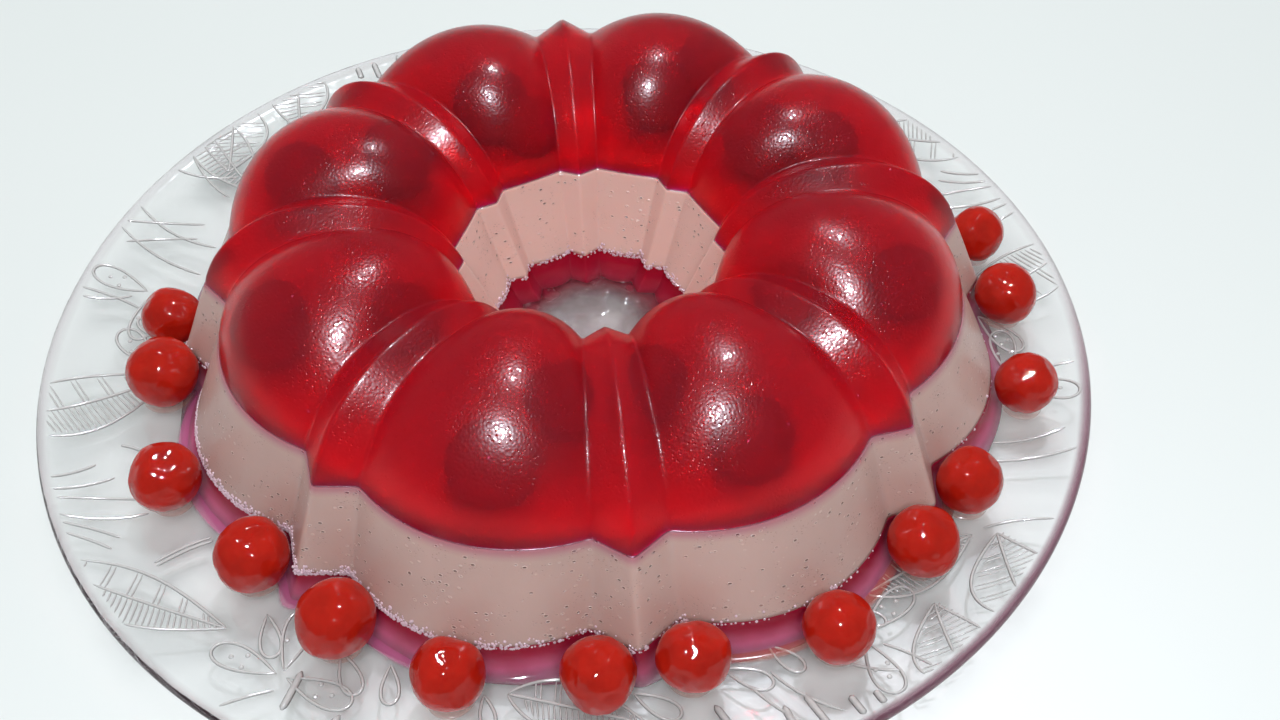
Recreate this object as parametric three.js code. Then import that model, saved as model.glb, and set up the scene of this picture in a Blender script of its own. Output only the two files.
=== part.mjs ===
// A ring of jelly turned out of a fluted mould onto a clear glass plate, with a wreath of cherries
// round its foot. Millimetres, +Z up. The origin is the middle of the plate, where it stands.
//
// The ring has eight domed lobes and, between them, eight ridges. A ridge is a low roof over the
// ring that ends in an upright prow on the outer wall and in a smaller one in the hole. The jelly
// was set in three layers: clear red on top, opaque cream, and a thin clear purple layer below.
import * as THREE from "three";

// ---- the plate ----
const plateRadius = 150.7;
const plateGlass = 4.5; // thickness of the glass
const footHeight = 2.5;
const footInner = 93;
const footOuter = 100;
const floorRadius = 126; // flat middle of the plate
const rimRise = 4.8; // how far the rim lies above the flat middle
const rimSteps = 5;
const plateSides = 84;

// ---- the ring ----
const ringCentre = new THREE.Vector2(6.2, 1.2); // the ring was turned out a little off the middle
const backSquash = 0.93; // the far half of the ring has settled a little narrower
const lobes = 8;
const firstRidge = -90; // degrees, the ridge that points to the front
const baseHeight = 8.0; // purple layer
const creamHeight = 24.4;
const layerGap = 0.3; // between two layers, and between the jelly and the plate
const lobeSteps = 5; // facets from a valley to the middle of its lobe
const archSteps = 9; // facets from the foot of the red layer to its top
const settle = 0.55; // how hollow the spread foot of the purple layer is, 0.5 is straight

// Radii of the outer and inner walls where two layers meet. A ridge has its tip and, on either
// side of it, a valley that lies halfWidth from the ridge's middle; a lobe has its middle.
const redFoot = {
  outer: { tip: 105.8, valley: 99.2, halfWidth: 9.2, lobe: 104.4 },
  inner: { tip: 35.0, valley: 38.0, halfWidth: 5.5, lobe: 36.7 },
};
const creamFoot = {
  outer: { tip: 116.4, valley: 108.6, halfWidth: 10.9, lobe: 116.2 },
  inner: { tip: 25.0, valley: 28.6, halfWidth: 4.5, lobe: 26.8 },
};
const footSpread = 3.8; // the soft purple layer spreads outwards
const holeSpread = 5.4; // and into the hole

// The arch of the red layer over a ridge's crest, its valleys and the middle of a lobe: how high
// it stands over the cream, between which radii its top is level, and how far the wall leans at
// the foot, in degrees.
const archOver = {
  crest: { height: 24.4, outerTop: 72.5, innerTop: 68.3, lean: 17.6 },
  valley: { height: 20.7, outerTop: 69.8, innerTop: 67.4, lean: 19.8 },
  lobe: { height: 29.9, outerTop: 67.2, innerTop: 65.3, lean: 6.0 },
};

// ---- the cherries ----
const cherryGap = 0.3; // over the plate
const cherryMeridians = 10;
const cherryParallels = 7;
const stemPitDepth = 0.16; // of the radius
const stemPitWidth = 0.4; // radians
// Most lobes have three. The wreath is open beside the lobe at the right of the back and beside
// the one at its left. Each row is the angle in degrees round the ring, the distance from the
// ring's middle and the diameter.
const cherryPlaces = [
  [-126.3, 121.8, 19.6], [-111.3, 125.9, 18.5], [-94.9, 121.4, 18.6],
  [-84.0, 120.2, 18.7], [-67.2, 125.8, 18.1], [-51.0, 119.9, 18.8],
  [-39.2, 119.8, 18.0], [-20.6, 125.5, 17.9], [-4.0, 122.4, 18.4],
  [8.7, 121.6, 17.4], [36.0, 119.0, 18.2], [51.2, 118.2, 19.0],
  [68.4, 121.2, 18.0], [84.0, 115.4, 18.8], [96.0, 115.6, 18.4],
  [113.0, 121.4, 19.2], [128.0, 117.0, 18.2], [174.1, 121.4, 17.0],
  [185.0, 121.8, 19.8], [-157.7, 126.2, 18.7], [-140.7, 120.5, 19.4],
];

const plateTop = footHeight + plateGlass;
const creamLevel = plateTop + baseHeight;
const redLevel = creamLevel + creamHeight;
const radians = THREE.MathUtils.degToRad;

// Small seeded generator, so that the cherries lean the same way each time.
function makeRandom(seed) {
  let state = seed;
  return () => {
    state = (state * 1664525 + 1013904223) % 4294967296;
    return state / 4294967296;
  };
}

// A closed mesh from rings of points: the rings follow one another round the solid's section.
function ringSolid(rows) {
  const columns = rows[0].length;
  const positions = rows.flat().flatMap((p) => [p.x, p.y, p.z]);
  const faces = [];
  rows.forEach((row, i) => {
    const nextRow = (i + 1) % rows.length;
    for (let j = 0; j < columns; j += 1) {
      const k = (j + 1) % columns;
      const a = i * columns + j;
      const b = i * columns + k;
      const c = nextRow * columns + k;
      const d = nextRow * columns + j;
      faces.push(a, b, c, a, c, d);
    }
  });
  const geometry = new THREE.BufferGeometry();
  geometry.setAttribute("position", new THREE.Float32BufferAttribute(positions, 3));
  geometry.setIndex(faces);
  geometry.computeVertexNormals();
  return geometry;
}

// Half an eighth of the ring at one level or one place on the arch, from the crest of a ridge at
// angle 0 to the middle of the lobe beside it: a straight facet, then a round arc.
function halfLobe({ crest, valley, lobe, halfWidth }) {
  const step = Math.PI / lobes;
  const valleyAngle = Math.asin(halfWidth / valley.r);
  const crestPoint = new THREE.Vector3(crest.r, 0, crest.z);
  const along = new THREE.Vector3(Math.cos(step), Math.sin(step), 0);
  const across = new THREE.Vector3(Math.sin(step), -Math.cos(step), 0);
  const up = new THREE.Vector3(0, 0, 1);
  const chord = valley.r * Math.sin(step - valleyAngle);
  const chordFoot = valley.r * Math.cos(step - valleyAngle);
  const riseOut = lobe.r - chordFoot;
  const riseUp = lobe.z - valley.z;
  const halfArc = Math.max(2 * Math.atan2(Math.hypot(riseOut, riseUp), chord), 0.001);
  const points = [crestPoint];
  for (let i = 0; i <= lobeSteps; i += 1) {
    const turn = halfArc * (1 - i / lobeSteps);
    const bulge = (Math.cos(turn) - Math.cos(halfArc)) / (1 - Math.cos(halfArc));
    const point = along.clone().multiplyScalar(chordFoot + riseOut * bulge);
    point.addScaledVector(across, (chord * Math.sin(turn)) / Math.sin(halfArc));
    point.addScaledVector(up, valley.z + riseUp * bulge);
    points.push(point);
  }
  return points;
}

// The whole loop: the half lobe is mirrored in the lobe's middle, and repeated for each ridge.
// It is then set down on the plate, with the far half a little narrower.
function loop(station) {
  const half = halfLobe(station);
  const step = Math.PI / lobes;
  const mirrored = half.slice(1, -1).reverse().map((p) => {
    const radius = Math.hypot(p.x, p.y);
    const angle = 2 * step - Math.atan2(p.y, p.x);
    return new THREE.Vector3(radius * Math.cos(angle), radius * Math.sin(angle), p.z);
  });
  const eighth = [...half, ...mirrored];
  const points = [];
  for (let i = 0; i < lobes; i += 1) {
    const turn = radians(firstRidge) + 2 * step * i;
    for (const p of eighth) {
      const q = p.clone().applyAxisAngle(new THREE.Vector3(0, 0, 1), turn);
      const y = q.y > 0 ? q.y * backSquash : q.y;
      points.push(new THREE.Vector3(ringCentre.x + q.x, ringCentre.y + y, q.z));
    }
  }
  return points;
}

// A level outline of a wall.
function wallLoop(wall, z) {
  return loop({
    crest: { r: wall.tip, z },
    valley: { r: wall.valley, z },
    lobe: { r: wall.lobe, z },
    halfWidth: wall.halfWidth,
  });
}

// The outline of a wall that has moved out by some distance.
function spread(wall, distance) {
  return {
    tip: wall.tip + distance,
    valley: wall.valley + distance,
    lobe: wall.lobe + distance,
    halfWidth: wall.halfWidth,
  };
}

// One point of an arch: turn runs from its lean at the foot to a right angle at the level top.
function archPoint(arch, foot, top, share, z) {
  const lean = radians(arch.lean);
  const turn = lean + (Math.PI / 2 - lean) * share;
  return {
    r: top + ((foot - top) * Math.cos(turn)) / Math.cos(lean),
    z: z + (arch.height * (Math.sin(turn) - Math.sin(lean))) / (1 - Math.sin(lean)),
  };
}

// The loops of one side of the red layer, from the foot to the top.
function archLoops(wall, topName, z) {
  const loops = [];
  for (let i = 0; i <= archSteps; i += 1) {
    const share = i / archSteps;
    const crest = archPoint(archOver.crest, wall.tip, archOver.crest[topName], share, z);
    const valley = archPoint(archOver.valley, wall.valley, archOver.valley[topName], share, z);
    const lobe = archPoint(archOver.lobe, wall.lobe, archOver.lobe[topName], share, z);
    // A ridge narrows evenly from the outer wall to the hole.
    const way = (valley.r - redFoot.inner.valley) / (redFoot.outer.valley - redFoot.inner.valley);
    const halfWidth = THREE.MathUtils.lerp(redFoot.inner.halfWidth, redFoot.outer.halfWidth, way);
    loops.push(loop({ crest, valley, lobe, halfWidth }));
  }
  return loops;
}

function redLayer() {
  const z = redLevel + layerGap / 2;
  const outside = archLoops(redFoot.outer, "outerTop", z);
  const inside = archLoops(redFoot.inner, "innerTop", z);
  return ringSolid([...outside, ...inside.reverse()]);
}

function creamLayer() {
  const top = redLevel - layerGap / 2;
  const bottom = creamLevel + layerGap / 2;
  return ringSolid([
    wallLoop(creamFoot.outer, bottom),
    wallLoop(redFoot.outer, top),
    wallLoop(redFoot.inner, top),
    wallLoop(creamFoot.inner, bottom),
  ]);
}

function baseLayer() {
  const top = creamLevel - layerGap / 2;
  const bottom = plateTop + layerGap;
  const middle = (top + bottom) / 2;
  return ringSolid([
    wallLoop(spread(creamFoot.outer, footSpread), bottom),
    wallLoop(spread(creamFoot.outer, footSpread * (1 - settle)), middle),
    wallLoop(creamFoot.outer, top),
    wallLoop(creamFoot.inner, top),
    wallLoop(spread(creamFoot.inner, -holeSpread * (1 - settle)), middle),
    wallLoop(spread(creamFoot.inner, -holeSpread), bottom),
  ]);
}

// Height of the plate's upper face: level in the middle, then a gentle curve up to the rim.
function plateFace(radius) {
  const way = Math.max(0, (radius - floorRadius) / (plateRadius - floorRadius));
  return plateTop + rimRise * way * way;
}

function platePart() {
  const edge = plateGlass / 2;
  const lastFlat = plateRadius - edge;
  const profile = [new THREE.Vector2(0, footHeight)];
  profile.push(new THREE.Vector2(footInner, footHeight), new THREE.Vector2(footInner + 1, 0));
  profile.push(new THREE.Vector2(footOuter - 1, 0), new THREE.Vector2(footOuter, footHeight));
  const radii = [];
  for (let i = 0; i <= rimSteps; i += 1) {
    radii.push(THREE.MathUtils.lerp(floorRadius, lastFlat, i / rimSteps));
  }
  radii.forEach((r) => profile.push(new THREE.Vector2(r, plateFace(r) - plateGlass)));
  const edgeLevel = plateFace(lastFlat) - edge;
  profile.push(new THREE.Vector2(lastFlat + edge * Math.SQRT1_2, edgeLevel - edge * Math.SQRT1_2));
  profile.push(new THREE.Vector2(plateRadius, edgeLevel));
  profile.push(new THREE.Vector2(lastFlat + edge * Math.SQRT1_2, edgeLevel + edge * Math.SQRT1_2));
  radii.reverse().forEach((r) => profile.push(new THREE.Vector2(r, plateFace(r))));
  profile.push(new THREE.Vector2(0, plateTop));
  const geometry = new THREE.LatheGeometry(profile, plateSides);
  return geometry.rotateX(Math.PI / 2);
}

// A stoned cherry: a ball with a pit where its stem was.
function cherryPart(diameter, random) {
  const geometry = new THREE.SphereGeometry(diameter / 2, cherryMeridians, cherryParallels);
  const position = geometry.attributes.position;
  const point = new THREE.Vector3();
  for (let i = 0; i < position.count; i += 1) {
    point.fromBufferAttribute(position, i);
    const fromStem = point.angleTo(new THREE.Vector3(0, 1, 0)) / stemPitWidth;
    point.multiplyScalar(1 - stemPitDepth * Math.exp(-fromStem * fromStem));
    position.setXYZ(i, point.x, point.y, point.z);
  }
  geometry.rotateX(Math.PI * (0.2 + 0.6 * random()));
  geometry.rotateZ(2 * Math.PI * random());
  geometry.computeBoundingBox();
  geometry.translate(0, 0, -geometry.boundingBox.min.z);
  return geometry;
}

function material(color, roughness) {
  return new THREE.MeshStandardMaterial({ color, roughness, metalness: 0 });
}

const redJelly = material(0xa01a1f, 0.12);
const creamJelly = material(0xb89a8e, 0.35);
const purpleJelly = material(0x8a2c58, 0.15);
const cherrySkin = material(0xb0251a, 0.1);
const clearGlass = material(0xdfe6e4, 0.05);

function named(name, geometry, surface) {
  const mesh = new THREE.Mesh(geometry, surface);
  mesh.name = name;
  return mesh;
}

const dessert = new THREE.Group();
dessert.add(named("glass_plate", platePart(), clearGlass));
dessert.add(named("purple_layer", baseLayer(), purpleJelly));
dessert.add(named("cream_layer", creamLayer(), creamJelly));
dessert.add(named("red_layer", redLayer(), redJelly));

const random = makeRandom(8);
cherryPlaces.forEach(([angle, distance, diameter], i) => {
  const cherry = named(`cherry_${String(i + 1).padStart(2, "0")}`, cherryPart(diameter, random), cherrySkin);
  const x = ringCentre.x + distance * Math.cos(radians(angle));
  const y = ringCentre.y + distance * Math.sin(radians(angle));
  cherry.position.set(x, y, plateFace(Math.hypot(x, y) + diameter / 6) + cherryGap);
  dessert.add(cherry);
});

export default dessert;
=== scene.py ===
"""A ring jelly in three layers on a pressed glass plate, with a wreath of cherries.

The sizes are metres and +Z is up. The origin is the middle of the plate, where it stands.
"""
import math

import bpy
import numpy as np
from mathutils import Matrix, Vector


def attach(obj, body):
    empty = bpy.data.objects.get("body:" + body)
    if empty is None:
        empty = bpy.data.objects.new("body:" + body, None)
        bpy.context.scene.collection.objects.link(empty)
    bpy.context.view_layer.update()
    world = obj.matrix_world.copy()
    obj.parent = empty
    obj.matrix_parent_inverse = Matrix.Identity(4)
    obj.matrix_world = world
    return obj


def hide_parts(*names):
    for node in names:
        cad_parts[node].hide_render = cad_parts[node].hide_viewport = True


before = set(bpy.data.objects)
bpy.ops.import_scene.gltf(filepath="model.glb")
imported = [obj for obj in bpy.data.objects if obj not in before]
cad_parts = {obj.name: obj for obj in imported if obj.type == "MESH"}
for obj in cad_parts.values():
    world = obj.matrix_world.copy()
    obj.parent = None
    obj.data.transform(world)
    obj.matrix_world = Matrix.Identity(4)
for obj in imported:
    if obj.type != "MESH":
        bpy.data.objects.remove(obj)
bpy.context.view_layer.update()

bl_info = {
    "name": "Moulded ring jelly",
    "version": (1, 0, 0),
    "blender": (4, 5, 0),
    "location": "3D View > Sidebar > Jelly",
    "description": "Builds a three-layer ring jelly on a pressed glass plate with cherries",
    "category": "Add Mesh",
}

MM = 0.001

# ---- the ring's outlines, in millimetres ----
LOBES = 8
STEP = math.pi / LOBES  # half the angle between two ridges
FIRST_RIDGE = math.radians(-90)
RING_CENTRE = np.array([6.2, 1.2]) * MM  # from the plate's middle
BACK_SQUASH = 0.93  # the ring's far half is narrower by this

# Where two layers meet, a wall has its tip, its valleys, their distance from a ridge's middle,
# and the middle of a lobe.
RED_FOOT = {
    "outer": {"tip": 105.8, "valley": 99.2, "half_width": 9.2, "lobe": 104.4},
    "inner": {"tip": 35.0, "valley": 38.0, "half_width": 5.5, "lobe": 36.7},
}
CREAM_FOOT = {
    "outer": {"tip": 116.4, "valley": 108.6, "half_width": 10.9, "lobe": 116.2},
    "inner": {"tip": 25.0, "valley": 28.6, "half_width": 4.5, "lobe": 26.8},
}
# The red layer's height over the cream, the radii between which its top is level, and the lean
# of its foot in degrees.
ARCH = {
    "tip": {"height": 24.4, "outer": 72.5, "inner": 68.3, "lean": 17.6},
    "valley": {"height": 20.7, "outer": 69.8, "inner": 67.4, "lean": 19.8},
    "lobe": {"height": 29.9, "outer": 67.2, "inner": 65.3, "lean": 6.0},
}
# The purple foot: how far it spreads, how much of the ridges its thin film loses, and how far
# the film's even outline lies out from the lobes.
PURPLE_FOOT = {
    "outer": {"spread": 3.8, "film": 0.6, "outline": 1.4},
    "inner": {"spread": -5.4, "film": 0.9, "outline": -1.0},
}

STAIN_AND_SHADE = "stain_and_shade"  # name of the cream's attribute that says how far the red has stained it, which on the level top is painted shade
RED_HAZE = 0.36  # share of the haze in the look of the red jelly
RED_DENSITY, GLASS_DENSITY = 1600, 12  # how strongly the depth of a clear body takes up light

# Angle round the ring in degrees, distance from its middle and diameter, in millimetres.
CHERRY_PLACES = (
    (-126.3, 121.8, 19.6), (-111.3, 125.9, 18.5), (-94.9, 121.4, 18.6),
    (-84.0, 120.2, 18.7), (-67.2, 125.8, 18.1), (-51.0, 119.9, 18.8),
    (-39.2, 119.8, 18.0), (-20.6, 125.5, 17.9), (-4.0, 122.4, 18.4),
    (8.7, 121.6, 17.4), (36.0, 119.0, 18.2), (51.2, 118.2, 19.0),
    (68.4, 121.2, 18.0), (84.0, 115.4, 18.8), (96.0, 115.6, 18.4),
    (113.0, 121.4, 19.2), (128.0, 117.0, 18.2), (174.1, 121.4, 17.0),
    (185.0, 121.8, 19.8), (-157.7, 126.2, 18.7), (-140.7, 120.5, 19.4),
)

# Cherries sunk in the red layer: angle, distance from the ring's middle, height over the cream
# and diameter.
SUNK_PLACES = (
    (-111.0, 86.0, 9.0, 20.0), (-101.5, 66.0, 11.0, 18.5),
    (-68.5, 86.0, 9.0, 20.0), (-80.0, 62.0, 10.0, 18.0),
    (-22.5, 86.0, 9.0, 19.0), (-33.0, 60.0, 8.0, 18.0),
    (19.0, 74.0, 12.0, 19.0), (30.0, 62.0, 10.0, 18.0),
    (66.0, 62.0, 12.0, 19.0), (60.0, 82.0, 9.0, 18.0),
    (113.0, 62.0, 12.0, 19.0), (105.0, 52.0, 9.0, 17.0),
    (160.0, 82.0, 11.0, 19.0), (147.0, 62.0, 12.0, 18.0),
    (-161.0, 88.0, 9.0, 20.0), (-150.0, 60.0, 8.0, 18.0),
)


# ---- what is pressed in the plate, in millimetres from the plate's middle ----
# Each group comes once for each of its turns, in degrees.
# Leaves: the tip's x and y, the way it points in degrees, length and half width.
# Blossoms: the middle's x and y, and the ways of its petals in degrees.
# Drops: single petals, given by their pointed end, way and length.
# Twigs: from x, y to x, y, and how far the middle bends to the left. Pins: the same, straight.
PRESSED = (((0.0, 178.0), {
    "leaves": ((-94.0, -89.9, -24.0, 52.0, 8.6), (-113.0, -1.0, 22.0, 50.0, 10.5)),
    "blossoms": ((-80.0, -105.4, (150.0, 74.0, -31.0)), (-120.5, 1.5, (122.0,))),
    "twigs": (
        (-81.5, -109.6, -100.0, -118.5, -1.5), (-142.7, -38.5, -132.0, -33.3, -0.5),
        (-144.0, -43.0, -126.7, -38.1, -0.8), (-142.9, -45.9, -119.4, -46.2, 0.8),
        (-141.5, -50.7, -116.6, -51.2, -1.4), (-139.9, -53.8, -122.9, -58.9, 0.8),
        (-137.9, -57.3, -124.4, -62.8, 0.6), (-126.4, -26.6, -118.9, -30.8, 0.6),
        (-113.5, -67.7, -99.7, -61.2, 0.8), (-112.9, -68.8, -99.2, -62.4, 0.8)),
}), ((0.0, -46.0, 180.0), {
    "leaves": ((104.5, -86.2, 88.0, 31.0, 11.0), (82.6, -105.4, 92.0, 29.0, 10.0),
               (98.0, -85.4, 25.0, 35.0, 7.0)),
    "blossoms": ((124.0, -33.0, (84.0, -30.0)),),
    "drops": ((62.0, -104.0, -38.0, 9.0), (38.5, -112.0, -46.0, 11.0),
              (26.5, -117.0, -28.0, 13.0), (4.0, -121.0, -36.0, 13.0)),
    "twigs": (
        (101.4, -83.9, 120.3, -85.6, 1.4), (57.1, -119.5, 69.5, -124.2, -0.6),
        (112.2, -55.6, 133.0, -54.5, -1.0), (110.4, -62.0, 137.5, -62.5, -0.8),
        (129.5, -32.0, 143.0, -31.2, 0.8)),
    "pins": ((44.9, -126.8, 49.5, -139.0), (39.3, -129.4, 42.0, -141.0),
             (55.5, -129.3, 58.5, -138.5), (61.7, -129.0, 64.0, -136.6),
             (23.0, -126.7, 28.0, -137.5)),
}), ((0.0, -70.0), {
    "leaves": ((-96.0, 76.0, -60.0, 40.0, 9.0),),
    "drops": ((-121.0, 14.0, 120.0, 10.0),),
    "twigs": (
        (-130.9, 70.6, -106.2, 50.8, -2.4), (-135.8, 61.4, -110.1, 39.2, -1.6),
        (-143.4, 34.6, -126.8, 26.6, 1.2), (-115.9, 92.9, -103.7, 74.2, -1.4)),
}))


# ---- sizes and colours that a user may change ----
def length(name, description, default):
    return bpy.props.FloatProperty(
        name=name, description=description, default=default, min=0, unit="LENGTH")


def colour(name, description, default):
    return bpy.props.FloatVectorProperty(
        name=name, description=description, default=default, min=0, max=1, size=3,
        subtype="COLOR")


def power(name, description, default):
    return bpy.props.FloatProperty(
        name=name, description=description, default=default, unit="POWER")


class JellySizes(bpy.types.PropertyGroup):
    plate_radius: length("Plate radius", "Middle of the plate to the rim", 0.1507)
    plate_glass: length("Glass thickness", "Thickness of the plate", 0.0045)
    foot_height: length("Foot height", "Height of the ring that the plate stands on", 0.0025)
    foot_inner: length("Foot inside", "Inner radius of the standing ring", 0.093)
    foot_outer: length("Foot outside", "Outer radius of the standing ring", 0.100)
    floor_radius: length("Flat middle", "Radius of the plate's level middle", 0.126)
    rim_rise: length("Rim rise", "Height of the rim over the level middle", 0.0048)
    base_height: length("Purple layer", "Thickness of the purple layer", 0.0080)
    cream_height: length("Cream layer", "Thickness of the cream layer", 0.0244)
    overlap: length("Overlap", "How far one layer reaches into the next", 0.0002)
    line_width: length("Pressed line", "Width of a line pressed in the glass", 0.0009)
    line_height: length("Line height", "Height of a line pressed in the glass", 0.0004)


class JellyColours(bpy.types.PropertyGroup):
    red: colour("Red jelly", "What the red jelly lets through", (0.990, 0.0625, 0.68))
    purple: colour("Purple jelly", "Body of the purple jelly", (0.44, 0.012, 0.048))
    cream: colour("Cream jelly", "Body of the milk jelly", (0.60, 0.41, 0.37))
    cherry: colour("Cherry", "Skin of the cherries", (0.45, 0.014, 0.006))
    foam: colour("Foam", "Fine bubbles at the cream's foot", (0.82, 0.62, 0.72))
    glass: colour("Glass", "What the glass lets through", (0.90, 0.86, 0.87))
    floor: colour("Floor", "Table under the plate", (0.78, 0.83, 0.82))


class StageSettings(bpy.types.PropertyGroup):
    glint_power: power("Front glint", "Power of the lamp whose image shines on the front", 60.0)
    second_power: power("Second glint", "Power of the other lamp with an image on the jelly", 42.0)
    soft_power: power("Soft lamps", "Power of each wide lamp", 12.6)
    sky: bpy.props.FloatProperty(
        name="Surroundings", description="Brightness all round", default=0.24, min=0)


# ---- arrays of points ----
def chain(*arrays):
    """Arrays one after another."""
    return np.concatenate(arrays)


def stacked(*arrays):
    """Arrays side by side, as the coordinates of points."""
    return np.stack(arrays, -1)


def mix(a, b, share):
    """The value a share of the way from a to b."""
    return a + (b - a) * share


def smooth_step(low, high, value):
    """0 below low, 1 above high, and a smooth S between them."""
    t = np.clip((value - low) / (high - low), 0, 1)
    return t * t * (3 - 2 * t)


def waves(points, seed, wavelength, count=7):
    """Sum of a few plane waves with random directions and phases, about -1 to 1."""
    rng = np.random.default_rng(seed)
    way = rng.normal(size=(count, 3))
    way /= np.linalg.norm(way, axis=1, keepdims=True)
    pace = 2 * math.pi / (wavelength * rng.uniform(0.7, 1.5, count))
    phase = rng.uniform(0, 2 * math.pi, count)
    return np.sin(points @ (way * pace[:, None]).T + phase).sum(-1) / math.sqrt(count)


def unit(vectors):
    """The vectors with a length of 1."""
    return vectors / np.maximum(np.linalg.norm(vectors, axis=-1, keepdims=True), 1e-12)


def circle(count):
    """Level unit vectors at even turns."""
    turn = 2 * math.pi * np.arange(count) / count
    return stacked(np.cos(turn), np.sin(turn), 0 * turn)


def grid_faces(rows, columns, wrap_rows=False):
    """Two triangles for each cell of a grid of points, numbered row by row. The columns close."""
    i = np.arange(rows if wrap_rows else rows - 1)[:, None]
    j = np.arange(columns)[None, :]
    a, b = i * columns + j, i * columns + (j + 1) % columns
    c, d = ((i + 1) % rows * columns + k for k in ((j + 1) % columns, j))
    return np.stack([stacked(a, b, c), stacked(a, c, d)], 2).reshape(-1, 3)


def between_poles(first, rows, last):
    """Points and faces of a closed body: rows of points round an axis, between two poles."""
    count, columns = rows.shape[:2]
    points = chain([first], rows.reshape(-1, 3), [last])
    j = np.arange(columns)
    k = (j + 1) % columns
    end = 1 + (count - 1) * columns
    faces = chain(
        stacked(0 * j, 1 + k, 1 + j), grid_faces(count, columns) + 1,
        stacked(0 * j + len(points) - 1, end + j, end + k))
    return points, faces


def ball(rows, columns):
    """Unit directions and faces of a ball: rows of latitude between two poles."""
    tilt = (math.pi * np.arange(1, rows) / rows)[:, None, None]
    body = np.sin(tilt) * circle(columns) + np.cos(tilt) * [0, 0, 1]
    points, faces = between_poles((0, 0, 1), body, (0, 0, -1))
    return points, faces[:, ::-1]


def repeat_shape(points, faces, count):
    """The faces of several copies of a shape whose points follow one another."""
    return (faces[None] + points * np.arange(count)[:, None, None]).reshape(-1, 3)


def scatter(directions, faces, places, radii, squash=1.0):
    """Copies of a ball at places with their own radii, flattened by squash."""
    points = directions * [1, 1, squash] * radii[:, None, None] + places[:, None]
    return points.reshape(-1, 3), repeat_shape(len(directions), faces, len(places))


def joined(shapes):
    """One array of points and one of faces from several pairs."""
    points, faces, first = [], [], 0
    for some_points, some_faces in shapes:
        points.append(some_points)
        faces.append(some_faces + first)
        first += len(some_points)
    return chain(*points), chain(*faces)


def put_mesh(name, points, faces, material, slot, node=None):
    """A piece of the dessert from an array of points and one of triangles, in the place of a
    node if one is given."""
    mesh = bpy.data.meshes.new(name)
    mesh.vertices.add(len(points))
    mesh.vertices.foreach_set("co", np.ascontiguousarray(points, np.float32).ravel())
    mesh.loops.add(faces.size)
    mesh.loops.foreach_set("vertex_index", np.ascontiguousarray(faces, np.int32).ravel())
    mesh.polygons.add(len(faces))
    mesh.polygons.foreach_set("loop_start", np.arange(0, faces.size, 3, dtype=np.int32))
    mesh.polygons.foreach_set("use_smooth", np.ones(len(faces), bool))
    mesh.materials.append(material)
    mesh.update(calc_edges=True)
    if mesh.validate():
        raise RuntimeError(f"{name}: the mesh had faults")
    piece = bpy.data.objects.new(name, mesh)
    bpy.context.scene.collection.objects.link(piece)
    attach(piece, "root")
    if node:
        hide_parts(node)
    return piece


def polar(angle, distance, squash=1.0):
    """A place at an angle in degrees and a distance in millimetres from the ring's middle. The
    far half is narrowed by squash."""
    way = math.radians(angle)
    y = math.sin(way)
    return RING_CENTRE + distance * MM * np.array([math.cos(way), y * squash if y > 0 else y])


def bearing(points):
    """Angles in degrees at which points are seen from the ring's middle."""
    x, y = (points[:, :2] - RING_CENTRE).T
    return np.degrees(np.arctan2(y, x))


# ---- the fluted ring ----
FACET_POINTS = 40  # points on a facet of a ridge before rounding
ARC_POINTS = 120  # points on half a lobe before rounding
ROUNDING = 3.2  # how many of those points an edge is rounded over
LEAST_TURN = 0.001  # least half angle of a lobe's arc, as a straight one would divide by 0


def column_choice():
    """Which of the points round the ring are kept: every second one near a ridge's keel and its
    creases, every sixth between them, and every fifth on a lobe."""
    half = FACET_POINTS + ARC_POINTS
    near = [np.arange(0, 8, 2), np.arange(8, 32, 6), np.arange(32, 50, 2)]
    first = chain(*near, np.arange(50, half + 1, 5))
    back = 2 * half - first[(first > 0) & (first < half)][::-1]
    eighth = chain(first, back)
    return (eighth[None] + 2 * half * np.arange(LOBES)[:, None]).ravel()


COLUMNS = column_choice()


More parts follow.
